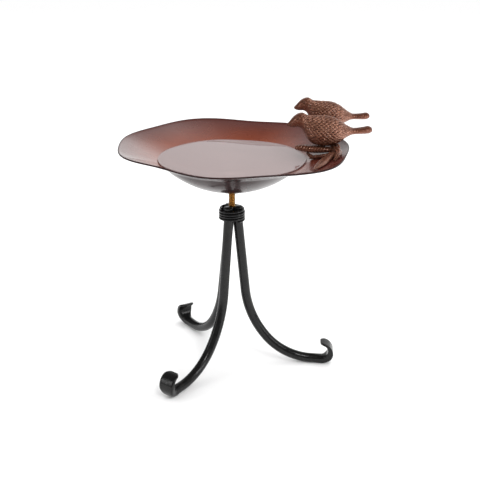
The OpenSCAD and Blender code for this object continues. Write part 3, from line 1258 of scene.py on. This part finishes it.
@dataclass
class Bird:
    """One cast bird: smooth head with a ringed eye, rows of small feathers, wings and a narrow tail."""

    node: str
    size: float
    tilt: float

    # Along, top, bottom and half width of each section, from beak to tail, at size 1.
    SECTIONS = (
        (-59.0, 30.6, 28.4, 1.2), (-57.2, 32.6, 27.0, 2.8), (-54.8, 35.6, 26.2, 4.8),
        (-52.4, 38.6, 25.8, 6.9), (-49.5, 41.6, 25.8, 8.6), (-44.5, 44.9, 26.0, 10.6),
        (-39.5, 45.8, 23.4, 12.2), (-35.0, 44.2, 16.0, 14.0), (-30.0, 41.8, 8.6, 16.2),
        (-23.0, 41.4, 3.0, 18.6), (-16.0, 41.4, 1.0, 20.0),
        (-6.0, 41.2, 0.0, 21.0), (4.0, 39.2, 1.0, 20.4), (13.0, 35.0, 5.4, 17.6),
        (21.0, 29.6, 11.0, 13.4), (28.0, 25.8, 14.8, 9.6), (34.0, 24.6, 16.0, 8.2),
        (45.0, 25.8, 16.4, 8.6), (52.5, 27.2, 17.0, 8.2), (57.0, 25.0, 19.0, 5.4),
    )
    # Where each wing's lower and upper edge runs: along, and the angle above the bird's waist.
    WING = ((-31, 18, 30), (-22, -6, 50), (-6, -17, 60), (10, -10, 56), (22, 8, 48), (33, 24, 34))
    EYE = (-45.5, 30.0)
    EYE_RADIUS = 1.45
    EYE_SUNK = 0.55
    NECK, RUMP = -40.0, 31.0
    BEAK = 51.5
    FEATHER_COLUMNS = 23
    FEATHER_ROW = 3.1
    FEATHER_BOW = 0.34
    FEATHER_WANDER = 0.16
    BARB_DEPTH = 0.34
    EDGE_DEPTH = 0.85
    FEATHER_RELIEF = 1.5

    def __post_init__(self) -> None:
        """Takes the bird's place from its node in the frame."""
        self.eyes: list[np.ndarray] = []
        low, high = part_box(self.node)
        self.at = np.array([low[0] - self.SECTIONS[0][0] * MM * self.size, (low[1] + high[1]) / 2, low[2]])

    def scales(self, along: np.ndarray, angle: np.ndarray) -> np.ndarray:
        """Height of overlapping feathers, each with a shaft and slanting barbs.

        Args:
            along: Distance along the bird in thousandths of its own unit.
            angle: Angle round the bird.

        Returns:
            Height from 0 to 1.
        """
        height = np.zeros(np.broadcast(along, angle).shape)
        for parity in (0, 1):
            column = angle / (2 * math.pi) * self.FEATHER_COLUMNS + 0.5 * parity
            which = np.floor(column)
            side = column - which - 0.5
            wander = self.FEATHER_WANDER * (scatter(which, 3.0 + parity) - 0.5)
            bow = self.FEATHER_BOW * (2 * side) ** 2
            row = (along / self.FEATHER_ROW - parity) / 2 + bow + wander
            cell = np.floor(row)
            share = row - cell
            lift = ease((share - 0.08) / 0.5)
            barbs = 0.5 + 0.5 * np.cos(2 * math.pi * (share * 1.6 + np.abs(side) * 1.8))
            feather = lift - self.BARB_DEPTH * barbs
            feather -= self.EDGE_DEPTH * ease((np.abs(side) - 0.35) / 0.14)
            feather *= 0.80 + 0.40 * (scatter(cell, which + 7.0 * parity) - 0.5)
            height = np.maximum(height, feather * ease((1 - share) / 0.14))
        return np.clip(height, 0, 1)

    def body(self) -> bpy.types.Object:
        """Builds the body with its relief.

        Returns:
            The body, in the frame.
        """
        rows = [(x, 0.0, (top + low) / 2, (top - low) / 2, wide) for x, top, low, wide in self.SECTIONS]
        run = smooth_run(rows, 0.42)
        along, middle, tall, wide = run[:, 0:1], run[:, 2:3], run[:, 3:4], run[:, 4:5]
        sides = 320
        angle = 2 * math.pi * np.arange(sides)[None] / sides
        above = np.degrees(np.arcsin(np.sin(angle)))
        feathered = ease((along - self.NECK + 0.05 * above) / 6) * ease((self.RUMP - along) / 7)
        feathered = feathered * ease((above + 52) / 14)
        scale = self.scales(along, angle)
        wing_along, wing_lower, wing_upper = np.array(self.WING, float).T
        wing_low = np.interp(along, wing_along, wing_lower)
        wing_high = np.interp(along, wing_along, wing_upper)
        wing = ease((above - wing_low) / 5) * ease((wing_high - above) / 6) * ease((along + 32) / 5)
        wing = wing * ease((35 - along) / 3)
        quills = 0.5 + 0.5 * np.cos(math.radians(360) * (above - wing_low) / 7.5)
        long_feathers = wing * ease((along - 12) / 6)
        pattern = scale * (1 - 0.75 * long_feathers) + 0.75 * long_feathers * quills
        reach = np.clip(tall / 20, 0.45, 1.0)
        relief = feathered * (pattern - 0.5) * self.FEATHER_RELIEF * reach + 0.5 * wing
        tail = ease((along - self.RUMP) / 5)
        across = wide * np.cos(angle)
        grooves = bump(np.abs(across) - 2.7, 0.45) + 0.5 * bump(across, 0.35)
        relief = relief - 0.5 * tail * grooves
        upright = middle + tall * np.sin(angle)
        point = np.stack([np.broadcast_to(along, across.shape), -across, upright], axis=-1)
        for side in (0.0, 1.0):
            ring = int(np.argmin(np.abs(along[:, 0] - self.EYE[0])))
            spoke = round((side * 180 + (1 - 2 * side) * self.EYE[1]) / 360 * sides) % sides
            away = np.linalg.norm(point - point[ring, spoke], axis=-1)
            relief = relief + 0.5 * bump(away - 2.6, 0.6) - 0.8 * bump(away, 1.8)
            self.eyes.append(point[ring, spoke].copy())
        beak = ease((-along - self.BEAK) / 2)
        gape = bump(point[..., 2] - middle + 0.1, 0.35)
        relief = relief - 0.35 * beak * gape
        relief = relief + 0.10 * (1 - feathered) * (scatter(np.round(along / 0.8), np.round(angle * 9)) - 0.5)
        point[..., 1] += relief * -np.cos(angle)
        point[..., 2] += relief * np.sin(angle)
        worn = 0.6 + feathered * (1.55 * pattern - 0.66)
        worn = worn - 0.6 * tail * grooves - 0.45 * beak * gape
        for eye in self.eyes:
            away = np.linalg.norm(point - eye, axis=-1)
            worn = worn - 0.7 * bump(away, 2.1) + 0.35 * bump(away - 2.9, 0.6)
        return skin(f"{self.node}_casting", self.placed(point), relief=np.clip(worn, 0, 1))

    def placed(self, points: np.ndarray) -> np.ndarray:
        """Moves points of the bird's own frame to its place on the perch.

        Args:
            points: Array whose last axis holds x, y and z, in thousandths.

        Returns:
            The points in the frame.
        """
        c, s = math.cos(math.radians(self.tilt)), math.sin(math.radians(self.tilt))
        tipped = points @ np.array([[c, 0, -s], [0, 1, 0], [s, 0, c]])
        return self.at + tipped * MM * self.size

    def eye(self, centre: np.ndarray) -> bpy.types.Object:
        """Builds the ball of one eye.

        Args:
            centre: Its middle in the bird's own frame.

        Returns:
            The ball, in the frame.
        """
        inward = np.array([0.0, -self.EYE_SUNK * math.copysign(1, centre[1]), 0.0])
        polar = np.linspace(0.08, math.pi - 0.08, 14)[:, None]
        turn = 2 * math.pi * np.arange(24)[None] / 24
        ring = np.sin(polar)
        ball = np.stack([ring * np.cos(turn), np.cos(polar) + 0 * turn, ring * np.sin(turn)], axis=-1)
        points = self.placed(centre + inward + self.EYE_RADIUS * ball)
        return skin(f"{self.node}_eye", points, relief=np.full(ball.shape[:2], 0.7))

    def build(self, finish: bpy.types.Material) -> None:
        """Builds the bird with its eyes and settles it.

        Args:
            finish: Its material.
        """
        body = self.body()
        casting = join(body.name, [body, *(self.eye(eye) for eye in self.eyes)])
        settle(casting, finish, Slot.CAST, Body.DISH, self.node)


# ---------------------------------------------------------------- perch


@dataclass
class Perch:
    """Cast stem, prop, leaves and twig that carry the birds on the dish's flare."""

    dish: Dish
    bird_x: float = 134.8
    bird_y: float = -4.0
    bird_gap: float = 44.0
    back_lift: float = 14.0
    stem_r: float = 4.0

    def on(self, x: float, y: float, lift: float, wide: float, thick: float | None = None) -> tuple:
        """A point of a limb a little above the inside of the dish, in thousandths.

        Args:
            x: Place to the right of the rod's axis.
            y: Place behind it.
            lift: Height above the flare.
            wide: Half width of the limb there.
            thick: Half thickness, which is the half width if left out.

        Returns:
            Place, half width and half thickness.
        """
        height = self.dish.flare(x * MM, y * MM) / MM + lift
        return x, y, height, wide, wide if thick is None else thick

    def limb(
        self, name: str, points: list[tuple], step: float, sides: int, carve: Carving | None = None
    ) -> bpy.types.Object:
        """Builds a limb through its points.

        Args:
            name: Name of the piece.
            points: Rows of place, half width and half thickness, in thousandths.
            step: Distance between rings, in thousandths.
            sides: Points of a ring.
            carve: Function of the distance along, the total length and the angle that gives a
                relief in thousandths and a crest value. Bark is carved if it is left out.

        Returns:
            The limb.
        """
        run = smooth_run(points, step)
        run[:, 3:] = np.maximum(run[:, 3:], 0.25)
        along = np.concatenate([[0], np.cumsum(np.linalg.norm(np.diff(run[:, :3], axis=0), axis=1))])[:, None]
        angle = 2 * math.pi * np.arange(sides)[None] / sides
        relief, crest = (carve or self.bark)(along, along[-1, 0], angle)
        rings = tube_rings(run, sides, relief) * MM
        return skin(name, rings, relief=np.clip(crest + 0 * angle + 0 * along, 0, 1))

    @staticmethod
    def bark(along: np.ndarray, total: float, angle: np.ndarray) -> tuple[np.ndarray, np.ndarray]:
        """Relief of bark: wandering grooves and a few knots.

        Args:
            along: Distance along the limb.
            total: Its whole length.
            angle: Angle round the limb.

        Returns:
            Relief in thousandths and crest value.
        """
        drift = 0.9 * np.sin(along * 0.21) + 0.5 * np.sin(along * 0.53 + 1)
        groove = 0.5 + 0.5 * np.cos(7 * angle + drift * 2)
        knots = sum(bump(along - total * share, 1.8) for share in (0.22, 0.47, 0.74))
        ends = ease(along / 2.5) * ease((total - along) / 2.5)
        relief = ends * (0.42 * (groove - 0.6) + 0.45 * knots * (0.5 + 0.5 * np.cos(angle - 1)))
        return relief, 0.25 + 0.6 * groove

    @staticmethod
    def ribs(along: np.ndarray, total: float, angle: np.ndarray) -> tuple[np.ndarray, np.ndarray]:
        """Relief of the ribbed leaf: a sunk midrib, slanting ribs and teeth along both edges.

        Args:
            along: Distance along the leaf.
            total: Its whole length.
            angle: Angle round the leaf.

        Returns:
            Relief in thousandths and crest value.
        """
        sideways = np.abs(np.cos(angle))
        phase = along / 4.2 + 1.3 * sideways
        rib = (phase - np.floor(phase)) ** 1.5
        ends = ease(along / 3) * ease((total - along) / 5)
        midrib = bump(np.cos(angle), 0.10)
        shallow = 0.25 + 0.75 * sideways**2
        relief = ends * (0.7 * shallow * (rib - 0.55) - 0.7 * midrib)
        return relief, 0.5 + 0.5 * rib - 0.6 * midrib

    @staticmethod
    def fold(along: np.ndarray, total: float, angle: np.ndarray) -> tuple[np.ndarray, np.ndarray]:
        """Relief of the smooth pointed leaf: a folded midrib and faint side veins.

        Args:
            along: Distance along the leaf.
            total: Its whole length.
            angle: Angle round the leaf.

        Returns:
            Relief in thousandths and crest value.
        """
        midrib = bump(np.cos(angle), 0.14) * ease(along / 4) * ease((total - along) / 4)
        veins = 0.5 + 0.5 * np.cos(2 * math.pi * (along / 4.0 + 0.8 * np.abs(np.cos(angle))))
        return 0.12 * (veins - 0.5) - 0.8 * midrib, 0.72 + 0.12 * veins - 0.6 * midrib

    @staticmethod
    def plain(along: np.ndarray, total: float, angle: np.ndarray) -> tuple[np.ndarray, np.ndarray]:
        """Relief of the tendril: a slight twist."""
        twist = 0.5 + 0.5 * np.cos(2 * angle + along * 0.8)
        return 0.12 * twist, 0.6 + 0.3 * twist

    def build(self, finish: bpy.types.Material) -> None:
        """Builds and settles the six pieces of the perch.

        Args:
            finish: Their material.
        """
        on, back_y = self.on, self.bird_y + self.bird_gap
        back_x, thick = self.bird_x + 4, self.stem_r
        stem = [
            on(134, -72, 1, 1.4), on(139, -61, 3.5, 3.4), on(142, -46, thick + 0.4, 5.0),
            on(142, -31, thick + 1, 5.2), on(140, -18, thick + 1, 4.8),
            on(self.bird_x + 3, self.bird_y, thick + 0.4, 4.2), on(140, 13, thick + 3, 3.8),
            on(141, 28, thick + 7, 3.6), on(back_x, back_y, self.back_lift, 3.4),
            on(138, back_y + 9, self.back_lift - 2, 1.6),
        ]
        prop = [
            on(147, back_y + 1, 0, 4.2), on(145, back_y, 5, 2.8),
            on(back_x, back_y - 1, self.back_lift - 2, 2.4),
        ]
        tip = on(140, -14, 3, 1)[2]
        ribbed = [
            (88, -2, tip + 0.4, 3.4, 2.6), (95, -3, tip + 0.2, 6.0, 4.2), (108, -4.5, tip - 0.8, 8.4, 5.0),
            (120, -7, tip - 0.8, 8.4, 5.0), (131, -10, tip - 0.6, 6.0, 4.0), (140, -14, tip, 2.8, 2.8),
        ]
        pointed = [
            on(105, -102, 1.4, 0.8, 0.6), on(110, -92, 2.6, 4.0, 1.8), on(118, -76, 3.4, 6.2, 2.8),
            on(125, -60, 3.6, 5.8, 3.2), on(134, -47, 3.6, 4.0, 3.0), on(142, -38, 4, 2.4),
        ]
        fork = on(112, -18, 2.8, 2.5)
        twig = [on(142, -37, 4, 2.4), on(127, -34, 3.2, 2.8), fork, on(107, -14, 2.4, 1.3)]
        tine = [(*fork[:3], 1.9, 1.9), (107, -8, fork[2] + 0.5, 2.2, 2.2), (104, 2, fork[2] + 2.5, 1.5, 1.5)]
        tendril = [
            on(140, -12, 8.6, 1.1), on(144, -22, 10.5, 1.1), on(145, -34, 8.5, 1.1),
            on(143.5, -46, 4.5, 1.1), on(140, -55, 3.4, 1.1),
        ]
        pieces = {
            "perch_stem": self.limb("perch_stem_bark", stem, 0.7, 56),
            "perch_prop": self.limb("perch_prop_bark", prop, 0.6, 40),
            "ribbed_leaf": self.limb("ribbed_leaf_blade", ribbed, 0.35, 72, self.ribs),
            "pointed_leaf": self.limb("pointed_leaf_blade", pointed, 0.6, 56, self.fold),
            "tendril": self.limb("tendril_wire", tendril, 0.6, 20, self.plain),
            "forked_twig": join("forked_twig_bark", [
                self.limb("twig", twig, 0.6, 32), self.limb("tine", tine, 0.6, 28),
            ]),
        }
        for node, piece in pieces.items():
            settle(piece, finish, Slot.CAST, Body.DISH, node)


# ---------------------------------------------------------------- studio


@dataclass
class Studio:
    """Camera, pale floor and soft light."""

    distance: float = 1.2
    height: float = 0.63419
    pitch: float = 20.2516
    yaw: float = 0.547
    lens: float = 66.81

    def camera(self) -> None:
        """Makes the camera."""
        lens = bpy.data.cameras.new("camera")
        lens.lens = self.lens
        lens.sensor_width = 36.0
        camera = bpy.data.objects.new("camera", lens)
        camera.location = (0.0, -self.distance, self.height)
        camera.rotation_euler = (math.radians(90 - self.pitch), 0.0, math.radians(-self.yaw))
        bpy.context.scene.collection.objects.link(camera)
        bpy.context.scene.camera = camera

    def floor(self) -> None:
        """Makes a wide pale floor that isn't part of the object."""
        reach = 14.0
        mesh = bpy.data.meshes.new("floor")
        corners = [(-reach, -reach, 0.0), (reach, -reach, 0.0), (reach, reach, 0.0), (-reach, reach, 0.0)]
        mesh.from_pydata(corners, [], [(0, 1, 2, 3)])
        material = bpy.data.materials.new("pale_floor")
        material.use_nodes = True
        graph = Graph(material.node_tree)
        shader = graph.add("ShaderNodeBsdfPrincipled", {
            "Base Color": (0.9, 0.9, 0.9), "Roughness": 0.85, "Specular IOR Level": 0.1,
        })
        graph.add("ShaderNodeOutputMaterial", {"Surface": shader.outputs[0]})
        mesh.materials.append(material)
        floor = bpy.data.objects.new("floor", mesh)
        bpy.context.scene.collection.objects.link(floor)

    def sky(self) -> None:
        """Lights the room evenly, and shows shiny surfaces one darker overhead, in front and to the left."""
        world = bpy.data.worlds.new("soft_room")
        world.use_nodes = True
        graph = Graph(world.node_tree)
        way = graph.add("ShaderNodeTexCoord").outputs["Generated"]
        parts = graph.add("ShaderNodeSeparateXYZ", {0: way}).outputs
        overhead = graph.ramp(parts["Z"], 0.36, 0.85, 1.0, 0.10)
        front = graph.ramp(parts["Y"], -0.6, 0.7, 0.06, 1.0)
        left = graph.ramp(parts["X"], -0.75, 0.0, 0.10, 1.0)
        mirrored = graph.math("MULTIPLY", graph.math("MULTIPLY", overhead, front), left)
        glossy = graph.add("ShaderNodeLightPath").outputs["Is Glossy Ray"]
        colour = graph.blend(glossy, (1.12, 1.12, 1.12), mirrored)
        background = graph.add("ShaderNodeBackground", {"Color": colour, "Strength": 1.0})
        graph.add("ShaderNodeOutputWorld", {"Surface": background.outputs[0]})
        bpy.context.scene.world = world

    def lamp(
        self, name: str, place: Point, size: tuple[float, float], watts: float, mirrored: bool = True
    ) -> None:
        """Makes one soft box that faces the dish.

        Args:
            name: Name of the lamp.
            place: Where it hangs.
            size: Width and height of its face.
            watts: Its power.
            mirrored: Whether shiny surfaces show it.
        """
        light = bpy.data.lights.new(name, "AREA")
        light.shape = "RECTANGLE"
        light.size, light.size_y = size
        light.energy = watts
        lamp = bpy.data.objects.new(name, light)
        lamp.location = place
        lamp.visible_glossy = mirrored
        facing = np.array([0.0, 0.0, 0.2]) - np.array(place)
        lamp.rotation_euler = direction(facing)
        bpy.context.scene.collection.objects.link(lamp)

    def build(self) -> None:
        """Makes the whole studio."""
        scene = bpy.context.scene
        scene.view_settings.view_transform = "Standard"
        self.camera()
        self.floor()
        self.sky()
        self.lamp("top_box", (0.3, 0.5, 2.2), (1.8, 1.4), 22.0, mirrored=False)
        self.lamp("front_box", (0.7, -1.7, 2.1), (0.6, 0.4), 17.0)
        self.lamp("right_box", (1.9, -0.9, 1.0), (0.30, 1.6), 14.0)
        self.lamp("left_box", (-2.0, -0.5, 1.0), (0.25, 1.6), 6.0)


def direction(facing: np.ndarray) -> tuple[float, float, float]:
    """Rotation that turns a lamp's face towards a direction.

    Args:
        facing: The direction.

    Returns:
        Euler angles.
    """
    flat = math.hypot(facing[0], facing[1])
    return math.atan2(flat, -facing[2]), 0.0, math.atan2(-facing[0], facing[1])


def dress_wire_legs(nodes: dict[str, bpy.types.Object], finish: bpy.types.Material) -> None:
    """Dresses the birds' wire legs, whose shape in the frame is right as it is.

    Args:
        nodes: The frame's nodes by name.
        finish: Their material.
    """
    for name in ("bird_front_legs", "bird_back_legs"):
        mesh = nodes[name].data
        mesh.materials.clear()
        mesh.materials.append(finish)
        mesh.shade_smooth()
        log.info("%s: dressed as it is", name)


def main() -> None:
    """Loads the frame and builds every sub-assembly in order."""
    logging.basicConfig(level=logging.INFO, format="%(name)s: %(message)s")
    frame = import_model()
    effects = Effects()
    iron = BlackIron().build(effects)
    cast = CastCopper().build(effects)

    rod_low, rod_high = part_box("threaded_rod")
    Stand(top=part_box("leg_right")[1][2], rod_radius=rod_high[0] + THREAD_PLAY).build(iron)
    Rod(radius=rod_high[0], low=rod_low[2], high=rod_high[2]).build(RodBrass().build(effects))
    dish = Dish(base=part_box("dish")[0][2])
    dish.build(DishCopper().build(effects), FlangeBraze().build(effects), ClearWater().build(effects))
    Perch(dish).build(cast)
    Bird("bird_front", size=1.0, tilt=0.0).build(cast)
    Bird("bird_back", size=0.92, tilt=3.0).build(cast)
    dress_wire_legs(frame["nodes"], cast)
    Studio().build()


if __name__ == "__main__":
    main()
